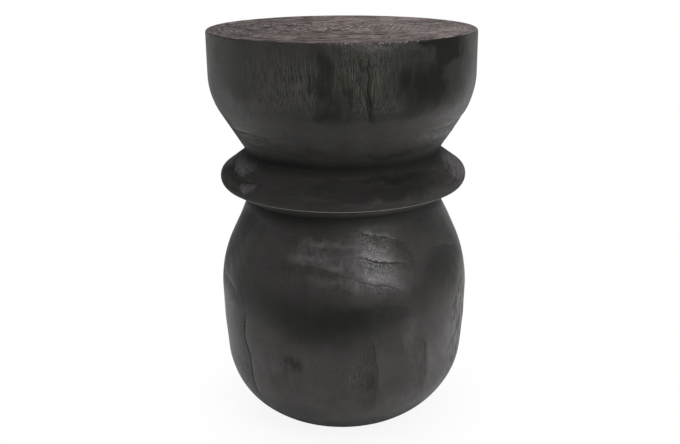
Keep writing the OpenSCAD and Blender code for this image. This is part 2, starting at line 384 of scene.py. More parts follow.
BASE_WOOD = Wood(
    pith=(13, 10), pith_height=126, lean=(0, 0.05), swell=6, shift=23.4, ripple=0.14, wear=0.5,
    ringed=(
        (10, 211, 45, 42, 0.25), (-58, 186, 16, 50, 0.4), (58, 196, 16, 40, 0.4), (5, 96, 60, 40, 0.25),
        (180, 166, 80, 90, 0.8)),
    checks=(
        Check(((-48.5, 156), (-51, 136), (-51.5, 118), (-48.8, 100), (-48.6, 82), (-48, 48),
              (-44, 24)), 0.7, 1.5),
        Check(((128, 201), (131, 166), (129, 131), (132, 96)), 1, 2.2)),
    steps=(
        Step(((4.4, 252.2), (9, 247.2), (15, 243.6), (22, 240.4), (28, 235.5), (36, 231)), 0.15, 9, 0.35),
        Step(((-24, 236.5), (-11, 232.8), (1, 231.6), (8, 231)), 0.3, 10, 0.3),
        Step(((1, 225.5), (6, 224.9), (9, 223.6), (12, 221.4), (16.6, 218.7), (22.5, 216.3),
             (28, 213.6), (33, 212)), 0.45, 12, 0.65),
        Step(((-30, 216.5), (-20, 215), (-15, 214.2), (-10, 212.2), (-3.5, 209),
             (4, 203.5)), 0.45, 12, 0.6),
        Step(((2, 203.5), (8.4, 199.9), (14, 196), (18.7, 194.9), (22.3, 190.7),
             (28, 187.5)), 0.4, 12, 0.55),
        Step(((8, 177.5), (14, 176), (22, 172.5), (30, 168)), 0.3, 9, 0.4),
        Step(((-84, 182), (-72, 177), (-63, 174), (-57, 168), (-52, 154)), 0.5, 10, 0.5),
        Step(((46, 222), (58, 218), (72, 209)), 0.4, 9, 0.3),
        Step(((150, 221), (180, 225), (215, 218), (250, 222)), 0.5, 12, 0.6),
        Step(((100, 201), (130, 207), (165, 200)), 0.4, 12, 0.6),
        Step(((-50.5, 154), (-51, 136), (-51.5, 118), (-48.8, 100), (-48.6, 82), (-48, 48)), 0.5, 16, 0),
        Step(((9, 146), (12.5, 132), (14.8, 99), (14, 67), (13.5, 46)), 0.8, 20, 0.6),
        Step(((36, 134), (38.5, 118), (40.7, 86), (39, 58)), 0.8, 20, 0.6),
        Step(((-30, 111), (-27, 96), (-26, 78)), 0.5, 10, 0.3),
        Step(((-150, 186), (-146, 136), (-149, 76)), 0.7, 20, 0.3)),
    streaky=(
        (8, 91, 8, 32, 0.72), (32, 118, 8, 30, 0.6), (74, 111, 14, 50, 0.6), (-160, 126, 22, 50, 0.8)),
    furrowed=(
        (7.5, 89, 6.5, 30, 1), (32, 118, 7, 28, 0.6), (74, 108, 13, 48, 1.6), (-160, 126, 20, 45, 1)),
    # Many are painted light and shade: they shape the shoulder's highlight, darken edges and belly, pale the
    # lower right
    tones_and_painted_light=(
        (-4, 166, 48, 28, -0.9), (6, 158, 12, 22, -0.2), (-14, 144, 16, 18, -0.25),
        (-60, 243, 18, 14, -0.4), (38, 242, 18, 10, -0.4), (50, 196, 12, 24, -0.3),
        (-54, 161, 8, 30, -0.25), (72, 151, 8, 30, 0.5), (70, 121, 9, 40, 0.35), (-30, 96, 6, 12, 0.3),
        (27, 134, 4, 14, 0.3), (8, 217.5, 4, 6, 0.4), (-6, 196, 15, 10, 0.35), (11, 204, 11, 8, 0.4),
        (18, 183, 9, 6, 0.3), (44, 254, 18, 6, -0.5), (20, 246.5, 5, 6, -0.3), (-52, 58, 14, 22, -0.25),
        (17, 236.5, 6, 6, -0.25), (11, 224.5, 4, 3, 0.5), (-24, 44, 22, 14, -0.4), (32, 182, 7, 8, -0.3),
        (-72, 222, 18, 44, -0.65), (-48, 200, 14, 26, -0.25), (64, 208, 22, 56, -0.7),
        (-82, 174, 12, 30, -0.3), (18, 193, 14, 10, 0.6), (27, 214, 7, 28, 0.5), (15, 250.5, 9, 6, -0.35),
        (-20, 228, 8, 12, 0.25), (43, 204, 5, 9, -0.3), (37, 192, 6, 9, -0.25), (5, 228, 9, 12, 0.4),
        (0, 16, 180, 18, -0.8), (0, 209, 30, 26, 0.22), (-12, 136, 16, 12, -0.2), (29, 124, 4, 20, 0.25),
        (64, 64, 14, 22, -0.45), (-11, 235.5, 12, 4.5, 0.4), (-15, 220.5, 13, 6, 0.45),
        (-14, 202, 12, 5.5, 0.15), (-23.6, 109.5, 2.2, 6.5, -0.7), (-21, 101, 2.6, 8, -0.75),
        (38, 101, 2.5, 30, -0.35), (29, 146, 4, 12, 0.35), (-70, 121, 24, 50, 0.45),
        (-44, 82, 10, 22, 0.35), (62, 118, 20, 58, 0.65), (40, 81, 10, 32, 0.3), (-4, 215, 8, 3, 0.3),
        (30, 221, 10, 20, -0.3), (11, 84, 3.2, 24, -0.6), (24, 58, 10, 14, 0.25), (-12, 71, 9, 20, 0.15),
        (-120, 146, 18, 60, 0.4), (160, 146, 30, 20, -0.4)),
    bulges=((74, 108, 18, 55, 0.9),),
    barky=((63, 116, 7, 50, 1.2), (72, 131, 8, 50, 1.3), (-150, 126, 16, 50, 0.8)),
    sway=((26, -2.2), (56, -1), (86, -0.5), (186, 0), (236, 1), (258, 0)))


def noise_at(points, width, length=None, shift=0.0):
    """Smooth noise from -1 to 1 whose lumps are width across and length tall."""
    scale = np.array([1 / width, 1 / width, 1 / (length or width)])
    return np.fromiter(map(noise.noise, (points * scale + shift).tolist()), float, len(points))


def smooth_step(value, low, high):
    t = np.clip((value - low) / (high - low), 0, 1)
    return t * t * (3 - 2 * t)


def bell(away, reach):
    """1 in the middle, falling softly to 0 beyond reach."""
    return np.exp(-((away / reach) ** 2))


def turned_by(azimuth, middle):
    """How far, from -180 to 180 degrees, each azimuth lies to the right of the middle one."""
    return (azimuth - middle + 180) % 360 - 180


def patch_sum(azimuth, height, patches, crispness):
    """The strengths of soft-edged patches, added up at each point.

    The larger the crispness, the crisper are their edges; a patch may end with a crispness of its own.
    """
    total = np.zeros(len(azimuth))
    for middle, level, half_width, half_height, strength, *own in patches:
        across = turned_by(azimuth, middle) / half_width
        tall = (height - level) / half_height
        total += strength * np.exp(-((across**2 + tall**2) ** (own or [crispness])[0]))
    return total


class Skin:
    """The corners of a turned block before it is carved, in mm and degrees, and its wood."""

    def __init__(self, rings, which, turns, wood, foot):
        self.radius, level, self.joint, self.gap = (np.array(values)[which] / MM for values in zip(*(
            (ring.radius, ring.height, ring.joint_gap, ring.edge_gap) for ring in rings)))
        out, self.up, self.face = (np.array(values)[which] for values in zip(*(
            (*ring.outward, ring.face) for ring in rings)))
        self.wood = wood
        self.height = level - foot / MM
        self.azimuth = np.degrees(turns)
        self.side = 1 - np.abs(self.up)
        self.turning_over = (4 * self.up**2 * out**2) ** 2
        self.outward = np.stack([out * np.sin(turns), -out * np.cos(turns), self.up], 1)
        self.points = np.stack([self.radius * np.sin(turns), -self.radius * np.cos(turns), level], 1)
        self.stray = self.azimuth + sum(far * self.wave(*lumps) for far, *lumps in STRAY_ROUND)
        self.level = self.height + sum(far * self.wave(*lumps) for far, *lumps in STRAY_UP)
        self.flat = self.points[:, :2] + 8 * np.stack([self.wave(14, shift=shift) for shift in (50, 55)], 1)

    def wave(self, width, length=None, shift=0):
        """Noise that differs from block to block, and with the shift."""
        return noise_at(self.points, width, length, self.wood.shift + shift)

    def on_side(self, patches):
        return patch_sum(self.azimuth, self.height, patches, 2)

    def on_stray(self, patches, crispness=2):
        """Patches of the side whose outlines wander."""
        return patch_sum(self.stray, self.level, patches, crispness)

    def on_face(self, patches, crispness=2):
        return patch_sum(*self.flat.T, patches, crispness)


def ring_number(skin, ring_width):
    """How many years of growth lie between the pith and each point, as a smooth number."""
    wood = skin.wood
    rise = (skin.height - wood.pith_height)[:, None]
    away = (skin.points[:, :2] - np.array(wood.pith) - rise * np.array(wood.lean)) * (1, OVAL)
    distance = np.hypot(away[:, 0], away[:, 1])
    for share, width, length, shift in (
            (1, 1, 3, 0), (wood.ripple, 0.3, 1, 7), (0.25 * wood.ripple, 0.1, 0.5, 13)):
        distance += wood.swell * share * skin.wave(width * BROAD_WAVE, length * BROAD_WAVE, shift)
    for x, y, size, push in wood.knots:
        distance += push * bell(np.hypot(skin.points[:, 0] - x, skin.points[:, 1] - y), size)
    years = distance / ring_width - YOUNG_YEARS * (1 - np.exp(-distance / YOUNG_REACH))
    # Good and poor years come and go, so the rings aren't equally wide
    return years + 0.35 * np.sin(years / 2.9 + wood.shift) + 0.16 * np.sin(years / 1.1)


def soft_wood(years, end_grain):
    """How far each year's soft wood is brushed away, from 0 on its hard ridge to 1."""
    year = years - np.floor(years)
    # The share of a year over which its ridge drops, which is longer on end grain
    drop = 0.06 + 0.26 * end_grain
    rise = np.clip(year / (1 - drop), 0, 1) ** 2.2
    fall = 0.5 + 0.5 * np.cos(np.pi * np.clip((year - 1 + drop) / drop, 0, 1))
    return 1 - np.where(year < 1 - drop, rise, fall)


def path_distance(skin, path):
    """Signed distance to the right of a path up the side, or above one round it, and the path's fade."""
    along, heights = np.array(path).T
    turn = turned_by(skin.azimuth, along.mean()) + along.mean()
    if np.ptp(heights) < np.radians(np.ptp(along)) * skin.radius.mean():
        off = skin.height - np.interp(turn, along, heights)
        inside = np.radians(np.minimum(turn - along[0], along[-1] - turn)) * skin.radius
    else:
        off = np.radians(turn - np.interp(skin.height, heights[::-1], along[::-1])) * skin.radius
        inside = np.minimum(skin.height - heights[-1], heights[0] - skin.height)
    return off, smooth_step(inside, 0, PATH_FADE)


def brush(skin, years, lines, grain):
    """How deep the soft wood is brushed out between the years' hard lines and along furrows."""
    relief = np.where(
        skin.face, grain.face_relief * smooth_step(skin.gap, 0, RIM_FADE), grain.side_relief) / MM
    furrows = 0.05 + 0.5 * skin.on_stray(skin.wood.furrowed) * smooth_step(skin.gap, 0, FURROW_FADE)
    furrows *= skin.side * (0.5 + 0.5 * skin.wave(*FURROW, 3))
    uneven = 0.25 * (0.6 + 0.5 * skin.wave(*UNEVEN, 5))
    return relief * lines * soft_wood(years, np.abs(skin.up)) + furrows + uneven


def open_checks(skin):
    """How deep the torn fibre and the checks go, and how much painted shade the finish puts into them."""
    torn = smooth_step(skin.wave(*TORN_FIBRE, 44), -0.1, 0.5) * np.clip(skin.on_stray(skin.wood.barky), 0, 1)
    depth = BARK_DEPTH * torn
    check = BARK_SHADE * torn
    wander = CHECK_WANDER * skin.wave(4, 7)
    for crack in skin.wood.checks:
        off, fade = path_distance(skin, crack.path)
        line = bell(off + wander, crack.half_width) * fade * skin.side
        depth += crack.depth * line
        check = np.maximum(check, line)
    return depth, check


def lift_layers(skin):
    """How deep the wood lies beside lifted layers, and the marks that their edges leave, a line of painted
    shade among them.
    """
    depth, pitted, rubbed, share = np.zeros((4, len(skin.points)))
    ledge = np.full(len(skin.points), float(LEDGE_FAR))
    wander = LAYER_WANDER * skin.wave(14, 18) + 0.12 * noise_at(skin.points, 4)
    for step in skin.wood.steps:
        off, fade = path_distance(skin, step.path)
        off += wander
        away = np.abs(off)
        sunk = np.where(off < 0, fade * np.exp(-away / step.reach), 0)
        depth += step.height * np.where(off < 0, sunk, fade * bell(off, LEDGE_SOFT))
        # How strongly the line of painted shade is drawn beside this edge
        near = step.line * fade * smooth_step(-away, -LEDGE_FAR, -LEDGE_NEAR)
        ledge = np.where(near > share, off, ledge)
        share = np.maximum(share, near)
        pitted += sunk
        rubbed += np.where(off < 0, 0, fade * np.exp(-away / RUBBED_REACH))
    pitted = np.clip(pitted + skin.on_side(skin.wood.pitted), 0, 1)
    return depth, {"pitted": pitted, "rubbed": np.clip(rubbed, 0, 1), "ledge": ledge, "ledge_shade_share": share}


def carve(skin, grain):
    """Places of the corners once the wood is brushed, and what the finish needs to know at each."""
    wood = skin.wood
    years = ring_number(skin, grain.ring_width / MM)
    lines = 0.35 + 0.65 * smooth_step(skin.wave(*RING_PLACE, 40), -0.35, 0.25)
    lines = np.clip(np.where(
        skin.face, 0.5 + 0.6 * skin.on_face(wood.face_ringed), skin.on_side(wood.ringed) * lines), 0, 1)
    opened, check = open_checks(skin)
    lifted, layer_marks = lift_layers(skin)
    depth = brush(skin, years, lines, grain) - skin.on_side(wood.bulges) + opened + lifted

    share = smooth_step(skin.joint, 0, JOINT_FADE)
    moved = skin.points - (depth * share)[:, None] * skin.outward
    heights, strays = np.array(wood.sway).T
    moved[:, 0] += share * np.interp(skin.height, heights, strays)
    top = skin.height.max()
    right = moved[:, 0] + skin.radius.max()
    moved[:, 2] -= wood.slope * right * smooth_step(skin.height, top - SLOPE_REACH, top)
    return moved * MM, {
        "years": years, "lines": lines, "streaky": np.clip(skin.on_stray(wood.streaky), 0, 1),
        # The groove mark is painted shade in the creases at the joints
        "check": check, "groove": bell(skin.joint, GROOVE_SHADE_REACH), **layer_marks,
        # The tone is stain that differs from place to place, together with painted light and shade
        "tone": np.clip(np.where(
            skin.face, skin.on_face(wood.face_tones_and_painted_light, 1), skin.on_stray(wood.tones_and_painted_light, 1)), -1, 1),
        "worn": bell(skin.gap, wood.wear) * skin.turning_over * skin.on_side(wood.worn)}


@dataclass
class Ring:
    """One ring of corners round the axis, its outward direction, and how far joints and edges are."""

    radius: float
    height: float
    stride: int = 1
    outward: tuple = (1.0, 0.0)
    joint_gap: float = 0.0
    edge_gap: float = 1.0
    face: bool = False


def corners_of(node):
    """How far each corner of a CAD node lies from the axis, and its height."""
    places = np.array([corner.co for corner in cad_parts[node].data.vertices])
    return np.hypot(places[:, 0], places[:, 1]), places[:, 2]


def outline_of(node):
    """The outer outline of a turned CAD node: (radius, height) points from the top down."""
    radius, height = corners_of(node)
    outer = radius > CORE_RADIUS
    levels = {}
    for r, z in zip(radius[outer], height[outer]):
        key = round(z / MM * 1000)
        levels[key] = max(levels.get(key, 0.0), r)
    return np.array([(levels[level], level * MM / 1000) for level in sorted(levels, reverse=True)])


def bore_of(node):
    """The radius of a node's dowel bore, and the lowest and highest points of its wall."""
    radius, height = corners_of(node)
    wall = (radius < CORE_RADIUS / 2) & (radius > MM)
    return float(radius[wall].min()), float(height[wall].min()), float(height[wall].max())


def runs_of(points):
    """The step from each point to the next, and its length."""
    step = np.diff(points, axis=0)
    return step, np.hypot(step[:, 0], step[:, 1])


def smooth_path(points, spacing):
    """A smooth curve through the points, kept sharp at edges, with points about spacing apart."""
    step, length = runs_of(points)
    heading = step / length[:, None]
    turn = np.arccos(np.clip((heading[1:] * heading[:-1]).sum(1), -1, 1))
    leave = heading.copy()
    arrive = heading.copy()
    for i in np.flatnonzero(turn < EDGE_ANGLE):
        share = length[i] / (length[i] + length[i + 1])
        arrive[i] = leave[i + 1] = heading[i] * share + heading[i + 1] * (1 - share)
    path = [points[:1]]
    for i, run in enumerate(length):
        count = max(1, int(round(run / spacing)))
        t = np.linspace(0, 1, count + 1)[1:, None]
        path.append(
            (2 * t**3 - 3 * t**2 + 1) * points[i] + (t**3 - 2 * t**2 + t) * run * leave[i]
            + (3 * t**2 - 2 * t**3) * points[i + 1] + (t**3 - t**2) * run * arrive[i])
    return np.concatenate(path)


def row_places(path, gaps, spacing):
    """Points about spacing apart along a path, closer near an edge, and how far along each lies."""
    _, step = runs_of(path)
    crowd = 1 + EDGE_CROWD * bell(gaps, EDGE_REACH)
    along = np.concatenate([[0], np.cumsum(step)])
    total = np.concatenate([[0], np.cumsum(step * (crowd[1:] + crowd[:-1]) / 2)])
    places = np.interp(np.linspace(0, total[-1], int(round(total[-1] / spacing)) + 1), total, along)
    return np.stack([np.interp(places, along, path[:, 0]), np.interp(places, along, path[:, 1])], 1), places


def outward_of(path):
    """The outward direction, as (radial, up), at each point of a path that runs from the top down."""
    run = np.gradient(path, axis=0)
    run /= np.hypot(run[:, 0], run[:, 1])[:, None]
    return np.stack([-run[:, 1], run[:, 0]], 1)


def edge_gaps(points, path):
    """How far each point of the path lies from the nearest edge of the outline through points."""
    step, length = runs_of(points)
    heading = np.arctan2(step[:, 1], step[:, 0])
    turn = np.abs((np.diff(heading) + math.pi) % (2 * math.pi) - math.pi)
    tight = turn > np.minimum(length[1:], length[:-1]) / EDGE_RADIUS
    edges = points[1:-1][(turn > EDGE_ANGLE) | tight]
    if not len(edges):
        return np.ones(len(path))
    return np.min(np.hypot(*(path[:, None] - edges[None]).transpose(2, 0, 1)), axis=1)


def side_rings(node, spacing, joint_above=False, joint_below=False):
    """Rings down a block's turned side, with a joint above it, below it or both."""
    outline = outline_of(node)
    fine = smooth_path(outline, FINE_SPACING)
    path, along = row_places(fine, edge_gaps(outline, fine), spacing)
    joint = np.ones(len(path))
    if joint_above:
        joint = np.minimum(joint, along)
    if joint_below:
        joint = np.minimum(joint, along[-1] - along)
    return [Ring(r, z, 1, tuple(outward), away, gap) for (r, z), outward, away, gap in zip(
        path, outward_of(path), joint, edge_gaps(outline, path))]


def face_rings(radius, height, spacing):
    """Rings across the seat face from its middle to its rim, with fewer columns where they would crowd."""
    rings = []
    stride = 1
    for r in (*np.arange(radius - spacing, spacing, -spacing), 0.0):
        if r and stride < MAX_STRIDE and 2 * math.pi * r * stride / COLUMNS < spacing * CROWDED:
            stride *= 2
        rings.append(Ring(r, height, stride, (0.0, 1.0), 1.0, radius - r, True))
    return rings[::-1]


def hidden_rings(places, after=True, before=True):
    """Coarse rings along straight runs between (radius, height) places, the first place left out.

    Their columns halve from ring to ring, away from the fine rings that come after or before them.
    """
    rings = []
    for start, end in zip(places, places[1:]):
        count = max(1, round(math.dist(start, end) / HIDDEN_SPACING))
        for i in range(1, count + 1):
            rings.append(Ring(*(s + (e - s) * i / count for s, e in zip(start, end))))
    for i, ring in enumerate(rings):
        steps_in = min([i + 1] * before + [len(rings) - i] * after)
        ring.stride = min(2**steps_in, HIDDEN_STRIDE)
    return rings


def column_angles(focus):
    """Angles round the axis, in radians, closer together at each azimuth of focus."""
    even = np.linspace(0, 360, 3601)
    crowd = np.ones_like(even)
    for azimuth in focus:
        crowd += FOCUS_GAIN * bell(turned_by(even, azimuth), FOCUS_SPREAD)
    total = np.concatenate([[0], np.cumsum((crowd[1:] + crowd[:-1]) / 2)])
    return np.radians(np.interp(np.arange(COLUMNS) / COLUMNS * total[-1], total, even))


def join_rings(a, count_a, b, count_b):
    """Faces between two rings of corners. One may have half the corners of the other, or a single one."""
    if count_a < count_b:
        return [face[::-1] for face in join_rings(b, count_b, a, count_a)]
    high = [a + j % count_a for j in range(count_a + 1)]
    low = [b + j % count_b for j in range(count_b + 1)]
    if count_b == 1:
        return [(high[j], b, high[j + 1]) for j in range(count_a)]
    if count_a == count_b:
        return [(high[j], low[j], low[j + 1], high[j + 1]) for j in range(count_a)]
    faces = []
    for j in range(count_b):
        left, middle, right = high[2 * j:2 * j + 3]
        faces += [(left, low[j], middle), (low[j], low[j + 1], middle), (middle, low[j + 1], right)]
    return faces


def turn_body(rings, angles, closed=False):
    """The ring and angle of each corner, and the faces, of a body turned from rings down its outline."""
    columns = [angles[::ring.stride] if ring.radius > 0 else angles[:1] for ring in rings]
    sizes = [len(column) for column in columns]
    start = np.concatenate([[0], np.cumsum(sizes)])[:-1].tolist()
    faces = []
    on_face = []
    for a in range(len(rings) if closed else len(rings) - 1):
        b = (a + 1) % len(rings)
        made = join_rings(start[a], sizes[a], start[b], sizes[b])
        faces += made
        on_face += [rings[a].face and rings[b].face] * len(made)
    return np.repeat(np.arange(len(rings)), sizes), np.concatenate(columns), faces, on_face


def add_object(name, data):
    made = bpy.data.objects.new(name, data)
    bpy.context.scene.collection.objects.link(made)
    return made


def build_block(name, node, rings, wood, materials, closed=False, focus=()):
    """A brushed block that stands for its CAD node and rides with the frame."""
    which, turns, faces, on_face = turn_body(rings, column_angles(focus), closed)
    skin = Skin(rings, which, turns, wood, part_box(node)[0].z)
    places, marks = carve(skin, bpy.context.scene.stool_grain)
    mesh = bpy.data.meshes.new(name)
    mesh.from_pydata(places.tolist(), [], faces)
    for mark, values in marks.items():
        mesh.attributes.new(mark, "FLOAT", "POINT").data.foreach_set("value", values.astype(np.float32))
    for material in materials:
        mesh.materials.append(material)
    mesh.polygons.foreach_set("material_index", [len(materials) - 1 if flag else 0 for flag in on_face])
    mesh.shade_smooth()
    mesh.set_sharp_from_angle(angle=SMOOTH_LIMIT)
    piece = add_object(name, mesh)
    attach(piece, BODY)
    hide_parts(node)


class Net:
    """The nodes of a shader tree. A value is a number, a vector, a colour or another node's output."""

    def __init__(self, tree):
        self.tree = tree

    def fill(self, node, inputs):
        """Sets or links a node's inputs, by their names or numbers, and gives its outputs."""
        for socket, value in inputs.items():
            if isinstance(value, bpy.types.NodeSocket):
                self.tree.links.new(value, node.inputs[socket])
            else:
                node.inputs[socket].default_value = value
        return node.outputs

    def put(self, kind, inputs=None, **settings):
        """The outputs of a new shader node."""
        node = self.tree.nodes.new("ShaderNode" + kind)
        for setting, value in settings.items():
            setattr(node, setting, value)
        return self.fill(node, inputs or {})

    def calc(self, operation, *values):
        return self.put("Math", dict(enumerate(values)), operation=operation)[0]

    def vector(self, operation, *values):
        return self.put("VectorMath", dict(enumerate(values)), operation=operation)[0]

    def times(self, value, factor):
        return self.calc("MULTIPLY", value, factor)

    def total(self, rest, *parts):
        """The rest plus each value times its factor."""
        for value, factor in parts:
            rest = self.calc("MULTIPLY_ADD", value, factor, rest)
        return rest

    def most(self, value, *others):
        """The largest of the values."""
        for other in others:
            value = self.calc("MAXIMUM", value, other)
        return value

    def strongest(self, *parts):
        """The largest of the values, each times its factor."""
        return self.most(*(self.times(value, factor) for value, factor in parts))

    def remap(self, value, low, high, to_low=0.0, to_high=1.0):
        """Value carried smoothly from the range low to high into to_low to to_high, and held there."""
        sockets = {"Value": value, "From Min": low, "From Max": high, "To Min": to_low, "To Max": to_high}
        return self.put("MapRange", sockets, interpolation_type="SMOOTHSTEP")["Result"]

    def tint(self, share, colour, other):
        """One colour mixed into another; share is how much of the other shows."""
        return self.put("Mix", {0: share, 6: colour, 7: other}, data_type="RGBA")[2]

    def coats(self, colour, *coats):
        """A colour under coats that are laid on in turn, each as the share that shows and its colour."""
        for share, coat in coats:
            colour = self.tint(share, colour, coat)
        return colour

    def mark(self, name):
        """The value of one of the marks that a brushed block's mesh carries."""
        return self.put("Attribute", attribute_name=name)["Fac"]

    def noise(self, place, **inputs):
        return self.put("TexNoise", {"Vector": place, "Scale": 1.0, **inputs})["Fac"]

    def stretched(self, given, width, length):
        """Places in which a lump of noise of scale 1 is width across and length tall."""
        across = self.calc("DIVIDE", 1.0, given[width])
        along = self.calc("DIVIDE", 1.0, given[length])
        scale = self.put("CombineXYZ", {"X": across, "Y": across, "Z": along})[0]
        return self.vector("MULTIPLY", given["Vector"], scale)

    def group(self, name, *values):
        """The outputs of a shared group's node, given its inputs in order."""
        node = self.tree.nodes.new("ShaderNodeGroup")
        node.node_tree = shared_group(name)
        return self.fill(node, dict(zip(SHARED[name][0], values)))

    def grain(self, place, width, length, share):
        return self.group("Elongated grain", place, width, length, share)[0]

    def tone(self, place, width, length):
        return self.group("Uneven stain", place, width, length)[0]

    def wear(self, place, whole):
        return self.group("Worn edge", place, self.mark("worn"), CHIP, whole)[0]


def grain_nodes(net, given):
    """Elongated grain: 1 inside a pore or streak that runs up the wood, 0 between them."""
    cells = net.noise(net.stretched(given, "Width", "Length"), Detail=2.0, Roughness=0.6)
    low = net.calc("SUBTRACT", 0.66, net.times(given["Share"], 0.3))
    return {"Grain": net.remap(cells, low, net.calc("ADD", low, 0.09))}


def stain_nodes(net, given):
    """Broad uneven tone of a stain or a finish, from 0 to 1."""
    cloud = net.noise(net.stretched(given, "Width", "Length"), Detail=3.0, Distortion=0.6)
    return {"Tone": net.remap(cloud, 0.32, 0.70)}


def ring_nodes(net, given):
    """Growth rings from a count of years: the hard late wood, the line where a year ends, the relief."""
    year = net.calc("FRACT", given["Years"])
    return {
        "Late wood": net.times(net.remap(year, 0.45, 0.86), net.remap(year, 0.93, 1.0, 1.0, 0.0)),
        "Year line": net.most(net.remap(year, 0.90, 0.985), net.remap(year, 0.0, 0.05, 1.0, 0.0)),
        "Relief": net.times(net.calc("POWER", year, 2.0), net.remap(year, 0.92, 1.0, 1.0, 0.0))}


def wear_nodes(net, given):
    """Broken wear along an edge: 1 where the stain has gone. Whole is the share that stays unbroken."""
    chips = net.noise(net.stretched(given, "Chip", "Chip"), Detail=3.0)
    return {"Wear": net.times(given["Edge"], net.most(net.remap(chips, 0.46, 0.60), given["Whole"]))}


# The shared groups: the names of each one's inputs and outputs, and what builds it
SHARED = {
    "Elongated grain": (("Vector", "Width", "Length", "Share"), ("Grain",), grain_nodes),
    "Uneven stain": (("Vector", "Width", "Length"), ("Tone",), stain_nodes),
    "Growth rings": (("Years",), ("Late wood", "Year line", "Relief"), ring_nodes),
    "Worn edge": (("Vector", "Edge", "Chip", "Whole"), ("Wear",), wear_nodes)}


def shared_group(name):
    """The node group of this name, built once."""
    if name in bpy.data.node_groups:
        return bpy.data.node_groups[name]
    inputs, outputs, build = SHARED[name]
    tree = bpy.data.node_groups.new(name, "ShaderNodeTree")
    for label in inputs:
        kind = "NodeSocketVector" if label == "Vector" else "NodeSocketFloat"
        tree.interface.new_socket(name=label, in_out="INPUT", socket_type=kind)
    for label in outputs:
        tree.interface.new_socket(name=label, in_out="OUTPUT", socket_type="NodeSocketFloat")
    net = Net(tree)
    made = build(net, tree.nodes.new("NodeGroupInput").outputs)
    net.fill(tree.nodes.new("NodeGroupOutput"), made)
    return tree


def new_material(name):
    """A new material, its net, its shader and the place of each point of the object."""
    material = bpy.data.materials.new(name)
    material.use_nodes = True
    tree = material.node_tree
    net = Net(tree)
    return material, net, tree.nodes["Principled BSDF"], net.put("TexCoord")["Object"]


def dress(net, shader, colour, roughness, height):
    """Gives a shader its colour, its roughness and, as a bump, the height of its surface."""
    bump = net.put("Bump", {"Height": height, "Distance": 1.0, "Strength": 1.0})[0]
    net.fill(shader, {"Base Color": colour, "Roughness": roughness, "Normal": bump})


def stain_colours():
    """The colours of the settings, opaque."""
    stain = bpy.context.scene.stool_stain
    return {name: (*getattr(stain, name), 1.0) for name in stain.__annotations__}


def side_wood(name, thin, pit_depth=0.2 * MM, whole=0.0, roughness=0.42):
    """Stained, brushed side grain: streaks up the wood in patches, soft blotches and faint rings."""
    material, net, shader, place = new_material(name)
    grain, stain = bpy.context.scene.stool_grain, stain_colours()
    lines, tone, streaky = net.mark("lines"), net.mark("tone"), net.mark("streaky")
    rings = net.group("Growth rings", net.mark("years"))
    ridge = net.most(net.times(rings["Relief"], lines), net.mark("rubbed"))
    pits = net.grain(place, grain.pore_width, grain.pore_length, 0.55)
    pits = net.times(pits, net.total(1.0, (ridge, -0.8)))
    pits = net.times(pits, net.total(0.3, (net.mark("pitted"), 0.7)))
    streaks = net.times(net.grain(place, grain.streak_width, grain.streak_length, 0.55), streaky)
    strokes = net.times(net.grain(net.vector("ADD", place, (0.5, 0.5, 0.5)), *STROKE, 0.5), streaky)
    turning = net.times(net.grain(place, *TURNING_LINE, 0.45), net.calc("SUBTRACT", 1.0, streaky))
    blotches = net.tone(place, *BLOTCH)
    cool = net.times(net.tone(place, *COOL_PATCH), net.total(0.6, (streaky, -0.5)))
    mottle = net.tone(place, *MOTTLE)
    # The line along a lifted layer's edge is painted shade, where the step faces away from the lamp, and a
    # small cut bump
    beside = net.calc("ABSOLUTE", net.calc("ADD", net.mark("ledge"), 0.4))
    ledge_shade_line = net.times(net.remap(beside, 0.2, 0.9, 1.0, 0.0), net.mark("ledge_shade_share"))
    # Shade holds the dark stain of pores, year lines and strokes, and painted shade in creases, checks,
    # ledges and dark tones
    shade = net.strongest(
        (net.times(rings["Year line"], lines), 0.5), (pits, 0.5), (tone, -1.0), (net.mark("groove"), 0.9),
        (net.remap(net.mark("check"), 0.25, 0.75), 0.95), (strokes, 0.75), (ledge_shade_line, 0.9))

    colour = net.coats(
        stain["side"], (blotches, stain[thin]), (cool, stain["side_cool"]),
        (net.times(mottle, 0.3), stain[thin]), (net.times(ridge, 0.4), stain[thin]),
        (net.times(turning, 0.12), stain["side_streak"]),
        # Pale tone patches are partly rubbed stain and partly painted highlight and reflection
        (net.times(net.remap(tone, 0.0, 1.0), net.total(0.6, (mottle, 0.8))), stain["bare"]),
        (net.times(streaks, 0.7), stain["side_streak"]), (shade, stain["deep"]),
        (net.wear(place, whole), stain["worn"]))
    dull = net.total(roughness, (pits, 0.2), (ridge, -0.12), (shade, 0.5), (mottle, 0.05), (blotches, 0.06))
    height = net.total(
        net.times(pits, -pit_depth), (ledge_shade_line, -0.3 * MM), (strokes, -0.15 * MM), (streaks, 0.14 * MM),
        (ridge, grain.side_relief))
    dress(net, shader, colour, dull, height)
    shader.inputs["Specular IOR Level"].default_value = WOOD_GLOSS
    return material


